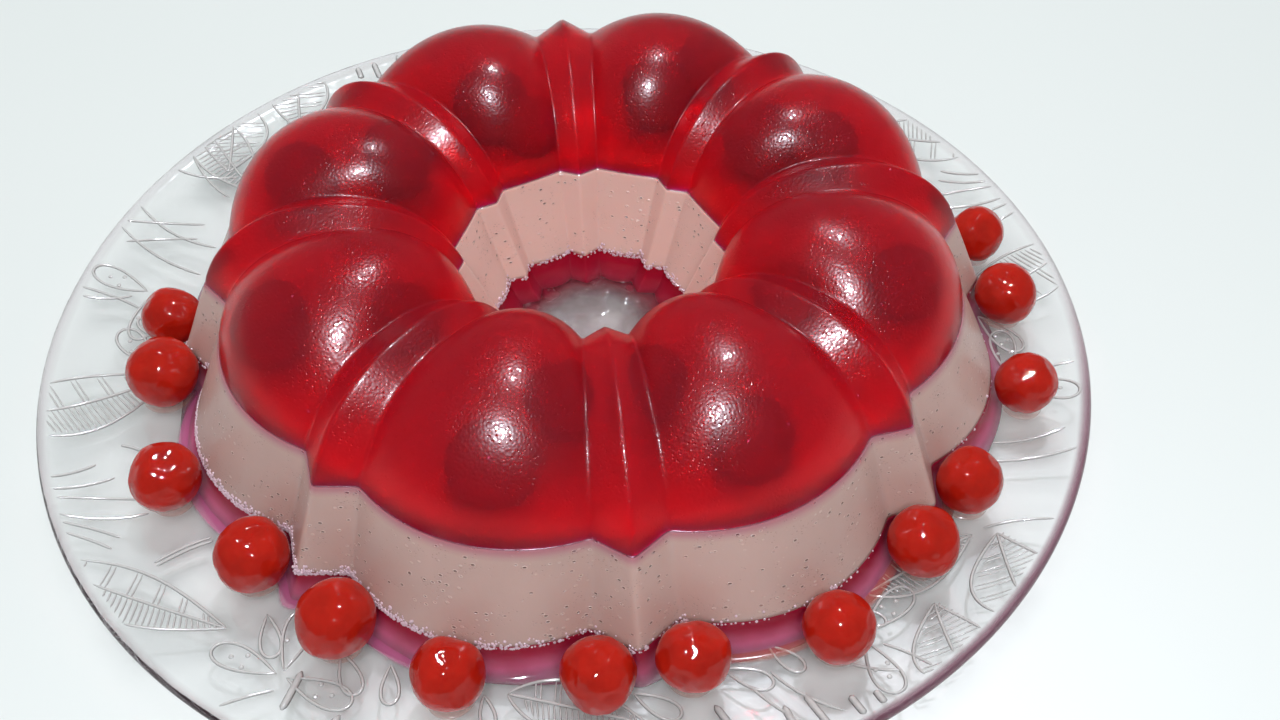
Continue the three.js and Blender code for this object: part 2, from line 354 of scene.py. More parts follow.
def ring_loops(tip, valley, lobe, half_width):
    """Closed outlines of the ring, an array of rows by columns by 3.

    Each outline runs straight from the tip of a ridge to its valley, and then on a circle's arc
    to the middle of the lobe. That half is mirrored and repeated for each ridge. Rounding is a
    running mean with a bell-shaped weight, done as a product of Fourier sums. The far half is
    then narrowed and the ring moved to its place. tip, valley and lobe are rows of (r, z).
    """
    t = np.arange(FACET_POINTS)[None] / FACET_POINTS
    valley_turn = np.arcsin(half_width / valley[:, 0])[:, None]
    foot = stacked(valley[:, 0] * np.cos(valley_turn[:, 0]), half_width, valley[:, 1])
    crest = stacked(tip[:, 0], 0 * tip[:, 0], tip[:, 1])
    facet = mix(crest[:, None], foot[:, None], t[..., None])
    chord = valley[:, :1] * np.sin(STEP - valley_turn)
    chord_foot = valley[:, :1] * np.cos(STEP - valley_turn)
    out = lobe[:, :1] - chord_foot
    up = lobe[:, 1:] - valley[:, 1:]
    half_arc = np.maximum(2 * np.arctan2(np.hypot(out, up), chord), LEAST_TURN)
    turn = half_arc * (1 - np.arange(ARC_POINTS + 1)[None] / ARC_POINTS)
    bulge = (np.cos(turn) - np.cos(half_arc)) / (1 - np.cos(half_arc))
    along = chord_foot + out * bulge
    across = chord * np.sin(turn) / np.sin(half_arc)
    arc = stacked(
        along * math.cos(STEP) + across * math.sin(STEP),
        along * math.sin(STEP) - across * math.cos(STEP), valley[:, 1:] + up * bulge)
    half = np.concatenate([facet, arc], 1)
    back = half[:, -2:0:-1]
    mirror = np.array([[math.cos(2 * STEP), math.sin(2 * STEP), 0],
                       [math.sin(2 * STEP), -math.cos(2 * STEP), 0], [0, 0, 1]])
    eighth = np.concatenate([half, back @ mirror.T], 1)
    turns = FIRST_RIDGE + 2 * STEP * np.arange(LOBES)
    spin = np.zeros((LOBES, 3, 3))
    spin[:, 0, 0] = spin[:, 1, 1] = np.cos(turns)
    spin[:, 1, 0] = np.sin(turns)
    spin[:, 0, 1] = -spin[:, 1, 0]
    spin[:, 2, 2] = 1
    whole = np.einsum("kab,rcb->rkca", spin, eighth).reshape(len(tip), -1, 3)
    pace = np.fft.rfftfreq(whole.shape[1]) * 2 * math.pi
    weight = np.exp(-0.5 * (pace * ROUNDING) ** 2)[None, :, None]
    whole = np.fft.irfft(np.fft.rfft(whole, axis=1) * weight, whole.shape[1], axis=1)
    whole = whole[:, COLUMNS] * MM
    whole[..., 1] *= np.where(whole[..., 1] > 0, BACK_SQUASH, 1)
    whole[..., :2] += RING_CENTRE
    return whole


def wall_loops(walls, heights):
    """Level outlines of a wall, from rows of (tip, valley, lobe, half width) and heights."""
    walls, heights = np.asarray(walls, float), np.asarray(heights, float)
    rows = [stacked(walls[:, k], heights) for k in range(3)]
    return ring_loops(*rows, walls[:, 3])


def wall_row(wall, outwards=0.0):
    """A wall's tip, valley and lobe, moved outwards, and its half width."""
    return np.array([wall["tip"] + outwards, wall["valley"] + outwards,
                     wall["lobe"] + outwards, wall["half_width"]])


def cream_walls(side, share):
    """Rows of the cream's wall at shares of the way from its foot up to the red."""
    return mix(wall_row(CREAM_FOOT[side])[None], wall_row(RED_FOOT[side])[None], share[:, None])


def foot_line(side, outwards):
    """The flat outline of the purple foot's lower edge, moved outwards."""
    walls = wall_row(CREAM_FOOT[side], PURPLE_FOOT[side]["spread"] + outwards)[None]
    return wall_loops(walls, [0])[0, :, :2]


def arch_loops(side, level, rows):
    """Outlines from the foot of the red layer up one side to its level top.

    At each place round the ring the side is part of an ellipse: the turn grows from the wall's
    lean to a right angle, the distance from the level top's edge goes with its cosine, and the
    height with its sine.
    """
    foot = RED_FOOT[side]
    share = np.linspace(0, 1, rows)
    lines = []
    for place in ("tip", "valley", "lobe"):
        arch = ARCH[place]
        lean = math.radians(arch["lean"])
        turn = mix(lean, math.pi / 2, share)
        r = arch[side] + (foot[place] - arch[side]) * np.cos(turn) / math.cos(lean)
        rise = (np.sin(turn) - math.sin(lean)) / (1 - math.sin(lean))
        lines.append(stacked(r, level + arch["height"] * rise))
    way = (lines[1][:, 0] - RED_FOOT["inner"]["valley"]) / (
        RED_FOOT["outer"]["valley"] - RED_FOOT["inner"]["valley"])
    width = mix(RED_FOOT["inner"]["half_width"], RED_FOOT["outer"]["half_width"], way)
    return ring_loops(*lines, width)


def waved(loops, seed, wavelength, height):
    """The outlines moved square to themselves by soft waves, each with its own height."""
    along = np.roll(loops, -1, 1) - np.roll(loops, 1, 1)
    outward = unit(stacked(along[..., 1], -along[..., 0], 0 * along[..., 0]))
    swell = waves(loops, seed, wavelength)[..., None] * height[:, None, None]
    return loops + outward * swell


def section_piece(name, loops, material, slot, node):
    """A closed ring from outlines that follow one another round its section."""
    faces = grid_faces(*loops.shape[:2], wrap_rows=True)
    return put_mesh(name, loops.reshape(-1, 3), faces, material, slot, node)


def levels(sizes):
    """Heights in metres: the plate's floor, the purple layer's top and the cream layer's."""
    floor = sizes.foot_height + sizes.plate_glass
    base = floor + sizes.base_height
    return floor, base, base + sizes.cream_height


def plate_face(sizes, radius):
    """Height of the plate's upper face: level, and past floor_radius a parabola up to the rim."""
    way = np.maximum(0, (radius - sizes.floor_radius) / (sizes.plate_radius - sizes.floor_radius))
    return sizes.foot_height + sizes.plate_glass + sizes.rim_rise * way * way


def rim_ripple(sizes, r, way):
    """The slight ripple of the plate's rim: a few long waves 0.3 mm high that depend on the way
    from the middle, and grow from a radius of 128 mm to the rim."""
    return 0.0003 * smooth_step(0.128, sizes.plate_radius, r) * waves(way * 0.1, 9, 0.09)


def plate_skin(sizes, x, y):
    """Height of the plate's upper face with its ripple."""
    r = np.hypot(x, y)
    way = stacked(x, y, 0 * x) / r[..., None]
    return plate_face(sizes, r) + rim_ripple(sizes, r, way)


# ---- lines pressed in the plate ----
PRESSED_REACH = 147.6  # how far from the middle the pressed lines go, in millimetres


def way_along(line):
    """How far along a line each of its points is."""
    return chain([0], np.cumsum(np.linalg.norm(np.diff(line, axis=0), axis=1)))


def even(line, count):
    """The same line with its points at even distances."""
    far = way_along(line)
    at = np.linspace(0, far[-1], count)
    return np.stack([np.interp(at, far, line[:, k]) for k in (0, 1)], -1)


def turned(points, way, place):
    """Points turned by an angle in degrees and moved to a place."""
    c, s = math.cos(math.radians(way)), math.sin(math.radians(way))
    return points @ np.array([[c, s], [-s, c]]) + np.asarray(place)


def leaf_lines(x, y, way, length, half_width):
    """Outline, midrib and veins of a leaf, as long lines and fine ones.

    The leaf lies back from its tip at 0, and its half width is a sine of the share of its length.
    One half has many fine straight veins, the other a few bold pairs.
    """
    share = np.linspace(0, 1, 60)
    spine = (share - 1) * length
    edge = half_width * np.sin(math.pi * share ** 0.8)
    long = [stacked(spine, edge), stacked(spine, -edge),
            stacked(spine, 0.25 * np.sin(math.pi * share))]
    many, few = np.linspace(0.12, 0.93, int(length / 1.7)), np.linspace(0.2, 0.88, 6)
    # Each vein has its place on the midrib, a shift, how far it leans and its side.
    veins = [(place, 0.0, 2.2, -1) for place in many]
    veins += [(place, shift, -1.5, 1) for place in few for shift in (0.0, 1.3)]
    ends = np.array([0.0, 0.93])
    fine = []
    for place, shift, lean, side in veins:
        reach = side * half_width * math.sin(math.pi * place ** 0.8)
        vein = stacked((place - 1) * length + shift + lean * ends, reach * ends)
        fine.append(even(vein, 8))
    return [[turned(k, way, (x, y)) for k in lines] for lines in (long, fine)]


def drop_outline(x, y, way, length):
    """A petal: a closed drop with its point at x, y. Its width is a sine with a lag."""
    turn = np.linspace(0, 2 * math.pi, 60)
    spine = length * (1 - np.cos(turn)) / 2
    edge = 0.27 * length * np.sin(turn) * np.sin(turn / 2) ** 1.2
    return turned(stacked(spine, edge), way, (x, y))


def pressed_lines():
    """Long lines, fine lines, thick pins and round dots of the whole plate, in metres."""
    t = np.linspace(0, 1, 40)[:, None]
    found = [], [], [], []
    for turns, group in PRESSED:
        long, fine, pins, dots = [], [], [], []
        for leaf in group["leaves"]:
            outline, veins = leaf_lines(*leaf)
            long += outline
            fine += veins
        for x, y, ways in group.get("blossoms", ()):
            for way in ways:
                root = turned(np.array([[1.4, 0.0]]), way, (x, y))[0]
                long.append(drop_outline(*root, way, 18.0))
                spots = np.array([[10.0, 1.9], [10.6, -1.7], [14.0, 0.3]])
                dots += list(turned(spots, way, (x, y))[:, None])
        long += [drop_outline(*drop) for drop in group.get("drops", ())]
        for x0, y0, x1, y1, bend in group["twigs"]:
            left = unit(np.array([y0 - y1, x1 - x0]))
            straight = mix(np.array([x0, y0]), np.array([x1, y1]), t)
            long.append(straight + left * bend * 4 * t * (1 - t))
        for x0, y0, x1, y1 in group.get("pins", ()):
            pins.append(mix(np.array([x0, y0]), np.array([x1, y1]), t))
        for turn in turns:
            for kept, lines in zip(found, (long, fine, pins, dots)):
                kept += [turned(k, turn, (0, 0)) for k in lines]
    *lines, dots = found
    counts = (44, 6, 12)  # points on a long line, on a fine one and on a pin
    shapes = []
    for some, count in zip(lines, counts):
        clipped = [k[np.hypot(k[:, 0], k[:, 1]) < PRESSED_REACH] for k in some]
        shapes.append(np.stack([even(k, count) for k in clipped if len(k) > 2]) * MM)
    return *shapes, chain(*dots) * MM


def beads(lines, width, height, sizes):
    """Closed glass beads along lines: five points across, a low round back over the plate's face
    and the foot sunk in it, narrower towards both ends."""
    count, steps = lines.shape[:2]
    along = unit(np.gradient(lines, axis=1))
    across = stacked(-along[..., 1], along[..., 0])
    taper = np.sqrt(1.06 - np.linspace(-1, 1, steps) ** 8)
    place = np.array([-1.0, -0.6, 0.0, 0.6, 1.0]) * width / 2
    lift = np.array([-0.25, 0.7, 1.0, 0.7, -0.25]) * height
    xy = lines[:, :, None] + across[:, :, None] * (taper[:, None] * place)[None, ..., None]
    z = plate_skin(sizes, xy[..., 0], xy[..., 1]) + taper[:, None] * lift
    points = np.concatenate([xy, z[..., None]], -1).reshape(-1, 3)
    caps = np.array([[0, 1, 2], [0, 2, 3], [0, 3, 4]])
    faces = chain(grid_faces(steps, 5)[:, ::-1], caps, caps[:, ::-1] + 5 * (steps - 1))
    return points, repeat_shape(5 * steps, faces, count)


# ---- shader expressions ----
class Wire:
    """A node's output in an expression. Each operator adds a Math node."""

    def __init__(self, finish, socket):
        self.finish, self.socket = finish, socket

    def maths(self, operation, *values):
        return self.finish.node("ShaderNodeMath", dict(enumerate(values)), operation=operation)

    def __add__(self, other):
        return self.maths("ADD", self, other)

    def __sub__(self, other):
        return self.maths("SUBTRACT", self, other)

    def __rsub__(self, other):
        return self.maths("SUBTRACT", other, self)

    def __mul__(self, other):
        return self.maths("MULTIPLY", self, other)

    def above(self, low, high):
        """0 below low, 1 above high, smooth between."""
        return self.finish.node(
            "ShaderNodeMapRange", {"Value": self, "From Min": low, "From Max": high}, "Result",
            interpolation_type="SMOOTHSTEP")


class Finish:
    """A material and the nodes in it."""

    def __init__(self, name):
        self.material = bpy.data.materials.new(name)
        self.material.use_nodes = True
        self.tree = self.material.node_tree
        self.tree.nodes.clear()
        self.place = self.node("ShaderNodeTexCoord", {}, "Object")

    def node(self, kind, values, out=0, **settings):
        """Adds a node: first its settings, then the values or links of its sockets."""
        node = self.tree.nodes.new(kind)
        for key, value in settings.items():
            setattr(node, key, value)
        for key, value in values.items():
            socket = node.inputs[key]
            if isinstance(value, Wire):
                self.tree.links.new(value.socket, socket)
            else:
                socket.default_value = (*value, 1) if socket.type == "RGBA" else value
        return Wire(self, node.outputs[out])

    def vector_maths(self, operation, *values, out="Vector"):
        return self.node("ShaderNodeVectorMath", dict(enumerate(values)), out, operation=operation)

    def noise(self, scale, detail):
        return self.node("ShaderNodeTexNoise", {
            "Vector": self.place, "Scale": scale, "Detail": detail}, "Fac")

    def cells(self, scale, vector=None):
        return self.node("ShaderNodeTexVoronoi", {
            "Vector": vector or self.place, "Scale": scale}, "Distance")

    def height(self):
        return self.node("ShaderNodeSeparateXYZ", {"Vector": self.place}, "Z")

    def far_out(self, low, high, middle=(0, 0)):
        """0 nearer to an upright axis than low, and 1 farther out than high."""
        flat = self.vector_maths("MULTIPLY_ADD", self.place, (1, 1, 0), (-middle[0], -middle[1], 0))
        return self.vector_maths("LENGTH", flat, out="Value").above(low, high)

    def blend(self, share, a, b):
        """Colour a where share is 0 and b where it is 1."""
        return self.node("ShaderNodeMix", {0: share, 6: a, 7: b}, 2, data_type="RGBA")

    def bump(self, height):
        """A normal from a height in metres."""
        return self.node(
            "ShaderNodeBump", {"Height": height, "Distance": 1.0, "Strength": 1.0}, "Normal")

    def shader(self, values):
        """A surface. The radii over which light spreads under it are in metres."""
        return self.node("ShaderNodeBsdfPrincipled", {"Subsurface Scale": 1.0, **values}, "BSDF")

    def either(self, share, a, b):
        """Shader a where share is 0 and b where it is 1."""
        return self.node("ShaderNodeMixShader", {0: share, 1: a, 2: b})

    def clear(self, surface, lets_through, density):
        """A clear body: lamps reach what is inside it, and its depth takes up light."""
        ray = self.node("ShaderNodeLightPath", {}, "Is Shadow Ray")
        open_way = self.node("ShaderNodeBsdfTransparent", {"Color": (1, 1, 1)})
        both = self.either(ray, surface, open_way)
        depth = self.node("ShaderNodeVolumeAbsorption", {"Color": lets_through, "Density": density})
        return self.output(both, depth)

    def output(self, surface, volume=None):
        out = self.tree.nodes.new("ShaderNodeOutputMaterial")
        self.tree.links.new(surface.socket, out.inputs["Surface"])
        if volume:
            self.tree.links.new(volume.socket, out.inputs["Volume"])
        return self.material


# ---- materials ----
def red_jelly(colours):
    """Clear with a little haze, under a wet skin like fine orange peel."""
    f = Finish("red_jelly")
    patches = f.noise(38, 1).above(0.40, 0.60)
    peel = f.noise(1350, 0) * (patches * 0.000025 + 0.000052)
    pits = (1 - f.cells(900).above(0.0, 0.32)) * f.noise(100, 2).above(0.38, 0.55) * 0.00009
    swell = f.noise(70, 1) * 0.00012
    normal = f.bump(peel + swell - pits)
    clear = f.shader({
        "Base Color": (1, 1, 1), "Roughness": 0.3, "IOR": 1.2, "Transmission Weight": 1.0,
        "Normal": normal})
    haze = f.shader({
        "Base Color": (0.365, 0.014, 0.034), "Roughness": 0.04, "IOR": 1.36,
        "Specular IOR Level": 0.35, "Subsurface Weight": 0.5,
        "Subsurface Radius": (0.010, 0.001, 0.001), "Normal": normal})
    return f.clear(f.either(RED_HAZE, clear, haze), colours.red, RED_DENSITY)


def purple_jelly(colours, base, top):
    """More crimson in the hole. The thin foot is paler, and lets the plate show through."""
    f = Finish("purple_jelly")
    peel = f.noise(600, 2) * 0.00003 + f.noise(90, 1) * 0.0002
    height = f.height()
    body = Vector(colours.purple)
    tone = f.blend(height.above(base, mix(base, top, 0.8)), (0.82, 0.22, 0.40), body * 1.15)
    inside = f.blend(height.above(base, top), (0.42, 0.022, 0.06), (0.60, 0.008, 0.04))
    tone = f.blend(f.far_out(0.05, 0.07), inside, tone)
    tone = f.blend(f.noise(90, 3).above(0.3, 0.75) * 0.35, tone, body * 0.7)
    return f.output(f.shader({
        "Base Color": tone, "Roughness": 0.06, "IOR": 1.36, "Specular IOR Level": 0.3,
        "Alpha": height.above(base - 0.5 * MM, base + 2.2 * MM) * 0.6 + 0.4,
        "Transmission Weight": 0.25, "Subsurface Weight": 0.4,
        "Subsurface Radius": (0.004, 0.001, 0.002), "Normal": f.bump(peel)}))


def cream_jelly(colours, top):
    """Milky, with small pits, and paler in the hole, where the paler colour is painted light. The
    pits' insides are painted shade and their rims painted highlights. The level top is lit and
    shaded in paint: brighter in its middle, and painted darker near its edges, where the red over
    it is thin. The outer seam is stained by the red, and on the level top that staining is painted
    shade as well."""
    f = Finish("cream_jelly")
    body = Vector(colours.cream)
    tone = f.blend(f.noise(28, 3).above(0.3, 0.7), body * 0.94, body * 1.05)
    # Painted light: the cream in the hole is paler, for the light thrown back by the walls and
    # through the red there.
    tone = f.blend(f.far_out(0.040, 0.055), (0.86, 0.60, 0.54), tone)
    present = f.noise(90, 2).above(0.42, 0.52)
    low_cells = f.vector_maths("MULTIPLY", f.place, (1, 1, 1.7))
    hole = f.cells(330, low_cells)
    pit = (1 - hole.above(0.09, 0.16)) * present
    rim = (hole.above(0.13, 0.19) - hole.above(0.19, 0.28)) * present
    fine = (1 - f.cells(1000, low_cells).above(0.12, 0.26)) * f.noise(180, 2).above(0.5, 0.6)
    # Painted light and shade of the small hollows: the rims round the pits are painted paler, and
    # the pits and fine dots painted darker.
    tone = f.blend(rim * 0.45, tone, (0.84, 0.68, 0.62))
    tone = f.blend(pit * 0.75, tone, body * 0.35)
    tone = f.blend(fine * 0.35, tone, body * 0.5)
    # Painted light and shade on the level top under the red: brighter in its middle, and darker
    # near its inner and outer edges, where the red over it is thin.
    edge = 1 - f.far_out(0.037, 0.043, RING_CENTRE) + f.far_out(0.0955, 0.103, RING_CENTRE)
    # How far the red has stained the cream. On the level top this is painted shade, dark near the
    # outer edge; on the wall below it tints the seam with the red.
    stain_and_shade = f.node("ShaderNodeAttribute", {}, "Fac", attribute_name=STAIN_AND_SHADE)
    level_top = f.blend(edge, body * 1.15, body * 0.5)
    level_top = f.blend(stain_and_shade * 0.82, level_top, (0.13, 0.015, 0.055))
    tone = f.blend(stain_and_shade * 0.62, tone, (0.42, 0.055, 0.16))
    tone = f.blend(f.height().above(top - 0.4 * MM, top - 0.05 * MM), tone, level_top)
    peel = f.noise(500, 3) * 0.00004 + f.noise(80, 2) * 0.0002
    normal = f.bump(peel + rim * 0.0001 - pit * 0.0003 - fine * 0.0001)
    return f.output(f.shader({
        "Base Color": tone, "Roughness": 0.25, "Specular IOR Level": 0.2,
        "Subsurface Weight": 0.35, "Subsurface Radius": (0.004, 0.002, 0.0015),
        "Normal": normal}))


def cherry_skin(colours):
    f = Finish("cherry_skin")
    body = Vector(colours.cherry)
    height = f.noise(230, 0) * 0.0007 + f.noise(520, 0) * 0.0002
    return f.output(f.shader({
        "Base Color": f.blend(f.noise(160, 3).above(0.3, 0.7), body * 0.9, body * 1.1),
        "Roughness": 0.045, "Subsurface Weight": 0.6,
        "Subsurface Radius": (0.007, 0.0010, 0.0005), "IOR": 1.40, "Specular IOR Level": 0.42,
        "Normal": f.bump(height)}))


def sunk_skin(low, high):
    """Cherries seen through jelly, with painted light and shade: their tops, nearer to the light,
    are painted darker and their feet paler, so that both look as dark.
    """
    f = Finish("sunk_cherry_skin")
    tone = f.blend(f.height().above(low, high), (0.62, 0.05, 0.04), (0.20, 0.02, 0.015))
    return f.output(f.shader({"Base Color": tone, "Roughness": 0.5, "Specular IOR Level": 0.0}))


def plate_glass(colours):
    """Clear, with a purplish tint in the rim that is strongest at the front right."""
    f = Finish("plate_glass")
    normal = f.bump(f.noise(45, 2) * 0.0004 + f.noise(260, 1) * 0.00003)
    clear = f.shader({
        "Base Color": (1, 1, 1), "Roughness": 0.015, "IOR": 1.42,
        "Transmission Weight": 1.0, "Normal": normal})
    rim = f.shader({
        "Base Color": (0.27, 0.12, 0.17), "Roughness": 0.08, "IOR": 1.5,
        "Transmission Weight": 0.3, "Normal": normal})
    front_right = f.vector_maths("DOT_PRODUCT", f.place, (1, -1, 0), out="Value").above(0.14, 0.21)
    tint = f.far_out(0.1474, 0.1496) * (front_right * 0.75 + 0.15)
    return f.clear(f.either(tint, clear, rim), colours.glass, GLASS_DENSITY)


def pressed_glass():
    """Matt enough to show as pale lines."""
    f = Finish("pressed_glass")
    return f.output(f.shader({
        "Base Color": (0.90, 0.90, 0.90), "Roughness": 0.10, "IOR": 1.5,
        "Transmission Weight": 0.45, "Normal": f.bump(f.noise(400, 2) * 0.00006)}))


def foam(colours):
    f = Finish("foam")
    return f.output(f.shader({
        "Base Color": colours.foam, "Roughness": 0.15, "Specular IOR Level": 0.2,
        "Subsurface Weight": 0.3, "Subsurface Radius": (0.001, 0.001, 0.001)}))


def syrup():
    """A wet film through which the plate shows. Its pale colour is partly painted highlight, for
    the light that the wet film bends at the cherries' feet.
    """
    f = Finish("syrup")
    return f.output(f.shader({
        "Base Color": (0.95, 0.55, 0.45), "Roughness": 0.12, "IOR": 1.40, "Alpha": 0.22,
        "Coat Weight": 1.0, "Coat Roughness": 0.02, "Coat IOR": 1.40,
        "Normal": f.bump(f.noise(200, 1) * 0.0003)}))


def foot_juice(name, tone, alpha, level):
    """Juice that thins to nothing at its edges, where it is no higher than the plate's level."""
    f = Finish(name)
    return f.output(f.shader({
        "Base Color": tone, "Roughness": 0.12, "IOR": 1.36, "Specular IOR Level": 0.15,
        "Alpha": f.height().above(level - 0.1 * MM, level + 0.4 * MM) * alpha}))


def hole_juice_and_shade():
    """A film of juice that thins from the wall to the middle, and is uneven. Its middle is a grey
    sheet of painted shade, for the shade in the bottom of the hole.
    """
    f = Finish("juice_and_shade_in_hole")
    patches = f.noise(110, 3).above(0.3, 0.7)
    near_wall = f.far_out(0.0125, 0.0215, RING_CENTRE) * (patches * 0.3 + 0.7)
    return f.output(f.shader({
        # Grey in the middle is painted shade; crimson near the wall is juice.
        "Base Color": f.blend(near_wall, (0.26, 0.22, 0.23), (0.22, 0.008, 0.028)),
        "Roughness": 0.04, "IOR": 1.36, "Alpha": near_wall * 0.6 + patches * 0.2 + 0.16,
        "Normal": f.bump(f.noise(210, 1) * 0.003)}))


def air():
    # A pale opaque ball: its pale colour is painted light, for the light that a bubble of air in
    # the jelly throws back.
    f = Finish("air_bubble")
    return f.output(f.shader({
        "Base Color": (0.75, 0.22, 0.26), "Roughness": 0.1, "Coat Weight": 1.0}))


# ---- one operator for each piece or group of like pieces ----
def settings(context):
    return context.scene.jelly_sizes, context.scene.jelly_colours


class MakePlate(bpy.types.Operator):
    """Round glass plate with a standing ring, a raised rim and a tint in the rim"""

    bl_idname = "jelly.plate"
    bl_label = "Glass plate"
    sides = 288
    inside = 0.9997  # share of its radius at which the glass stays, within the plate's size

    def profile(self, sizes):
        """The section from the middle of the underside round the rim to the middle of the top.
        Its corners are rounded with a bell-shaped mean, and the points that are kept are closer
        where it bends: a point each 4 mm on a straight, and each 0.22 radians in a bend."""
        edge = sizes.plate_glass / 2
        last = sizes.plate_radius - edge
        level = plate_face(sizes, last) - edge
        radii = np.linspace(sizes.floor_radius, last, 12)
        turn = np.linspace(-math.pi / 2, math.pi / 2, 13)[1:-1]
        rim = stacked(last + edge * np.cos(turn), level + edge * np.sin(turn))
        top = stacked(radii, plate_face(sizes, radii))
        foot = [(0, sizes.foot_height), (sizes.foot_inner, sizes.foot_height),
                (sizes.foot_inner + MM, 0), (sizes.foot_outer - MM, 0),
                (sizes.foot_outer, sizes.foot_height)]
        corners = chain(foot, top - [0, sizes.plate_glass], rim, top[::-1], [(0, top[0, 1])])
        far = way_along(corners)
        at = np.arange(0, far[-1], 0.1 * MM)
        line = np.stack([np.interp(at, far, corners[:, k]) for k in (0, 1)], -1)
        reach = 12
        bell = np.exp(-0.5 * (np.arange(-reach, reach + 1) / 4.0) ** 2)
        bell /= bell.sum()
        padded = chain(np.repeat(line[:1], reach, 0), line, np.repeat(line[-1:], reach, 0))
        line = np.stack([np.convolve(padded[:, k], bell, "valid") for k in (0, 1)], -1)
        step = np.diff(line, axis=0)
        angle = np.unwrap(np.arctan2(step[:, 1], step[:, 0]))
        cost = chain([0], np.cumsum(np.linalg.norm(step, axis=1) / 0.004))
        cost[1:] += chain([0], np.cumsum(np.abs(np.diff(angle)))) / 0.22
        picks = np.interp(np.arange(0, cost[-1]), cost, np.arange(len(line))).round().astype(int)
        return line[np.unique(np.append(picks, len(line) - 1))][1:-1]

    def execute(self, context):
        sizes, colours = settings(context)
        line = self.profile(sizes)
        ring = circle(self.sides)
        r = line[:, :1] * self.inside
        z = line[:, 1:] + rim_ripple(sizes, r, ring)
        rows = stacked(r * ring[:, 0], r * ring[:, 1], z)
        points, faces = between_poles((0, 0, sizes.foot_height), rows, (0, 0, levels(sizes)[0]))
        put_mesh("glass_plate_body", points, faces, plate_glass(colours), "glass_plate",
                 "glass_plate")
        return {"FINISHED"}


class MakePressedLeaves(bpy.types.Operator):
    """Leaves, blossoms, twigs and pins pressed in the glass plate, as low beads"""

    bl_idname = "jelly.pressed_leaves"
    bl_label = "Pressed leaves"

    def execute(self, context):
        sizes, _ = settings(context)
        long, fine, pins, dots = pressed_lines()
        width, height = sizes.line_width, sizes.line_height
        spots = np.concatenate([dots, plate_skin(sizes, dots[:, 0], dots[:, 1])[:, None]], 1)
        points, faces = joined([
            beads(long, width, height, sizes), beads(fine, width * 0.55, height * 0.55, sizes),
            beads(pins, width * 2.2, height * 1.7, sizes),
            scatter(*ball(6, 12), spots, np.full(len(dots), width * 0.75), squash=0.6)])
        put_mesh("pressed_leaves", points, faces, pressed_glass(), "glass_plate")
        return {"FINISHED"}


class MakePurpleLayer(bpy.types.Operator):
    """Clear purple layer that spreads in a soft foot on the plate"""

    bl_idname = "jelly.purple_layer"
    bl_label = "Purple layer"

    def execute(self, context):
        """The foot is hollow: it spreads with the square of the way down, and ends in a thin
        film in which the ridges are lost."""
        sizes, colours = settings(context)
        floor, base, _ = levels(sizes)
        low, high = (floor - sizes.overlap) / MM, (base + sizes.overlap) / MM
        share = np.linspace(0, 1, 18) ** 1.5
        sides = []
        for side, foot in PURPLE_FOOT.items():
            spread = foot["spread"] * (1 - share) ** 2
            walls = wall_row(CREAM_FOOT[side]) + np.outer(spread, (1, 1, 1, 0))
            film = np.exp(-share / 0.035) * foot["film"]
            outline = walls[0, 2] + foot["outline"]
            walls[:, :3] = mix(walls[:, :3], outline, film[:, None])
            loops = wall_loops(walls, mix(low, high, share))
            sides.append(waved(loops, 31, 0.024, film * 0.4 * MM))
        loops = chain(sides[0], sides[1][::-1])
        section_piece("purple_layer_body", loops, purple_jelly(colours, floor, base),
                      "purple_jelly", "purple_layer")
        return {"FINISHED"}


class MakeCreamLayer(bpy.types.Operator):
    """Opaque milk layer, stained by the red along its upper edge outside, with painted shade near
    the edges of its level top
    """

    bl_idname = "jelly.cream_layer"
    bl_label = "Cream layer"

    def execute(self, context):
        """The walls are straight with slight waves. The red's staining grows from 0 to 1 over the
        last 3 mm of the outer wall, and falls to 0 again over the first 7 mm of the level top,
        where it is painted shade."""
        sizes, colours = settings(context)
        _, base, top = levels(sizes)
        share = np.linspace(0, 1, 24)
        heights = mix(base, top, share) / MM
        outer, inner = (
            waved(wall_loops(cream_walls(side, share), heights), 21, 0.03,
                  np.sin(math.pi * share) * 0.15 * MM) for side in ("outer", "inner"))
        inwards = np.array([0.015, 0.035, 0.065, 0.105])
        level_top = mix(outer[-1:], inner[-1:], inwards[:, None, None])
        loops = chain(outer, level_top, inner[::-1])
        piece = section_piece("cream_layer_body", loops, cream_jelly(colours, top),
                              "cream_jelly", "cream_layer")
        # How far the red has stained each row, which on the level top is painted shade.
        stain_and_shade = chain(smooth_step(0.87, 1.0, share), 1 - smooth_step(0, inwards[-1], inwards),
                      0 * share)
        marks = piece.data.attributes.new(STAIN_AND_SHADE, "FLOAT", "POINT")
        marks.data.foreach_set("value", np.repeat(stain_and_shade, loops.shape[1]).astype(np.float32))
        return {"FINISHED"}


class MakeRedLayer(bpy.types.Operator):
    """Clear red layer with eight domed lobes and eight ridges"""

    bl_idname = "jelly.red_layer"
    bl_label = "Red layer"

    def execute(self, context):
        sizes, colours = settings(context)
        level = levels(sizes)[2] / MM
        outer, inner = arch_loops("outer", level, 50), arch_loops("inner", level, 44)
        skirts = [side[:1] - [0, 0, sizes.overlap] for side in (outer, inner)]
        loops = chain(skirts[0], outer, inner[::-1], skirts[1])
        section_piece("red_layer_body", loops, red_jelly(colours), "red_jelly", "red_layer")
        return {"FINISHED"}


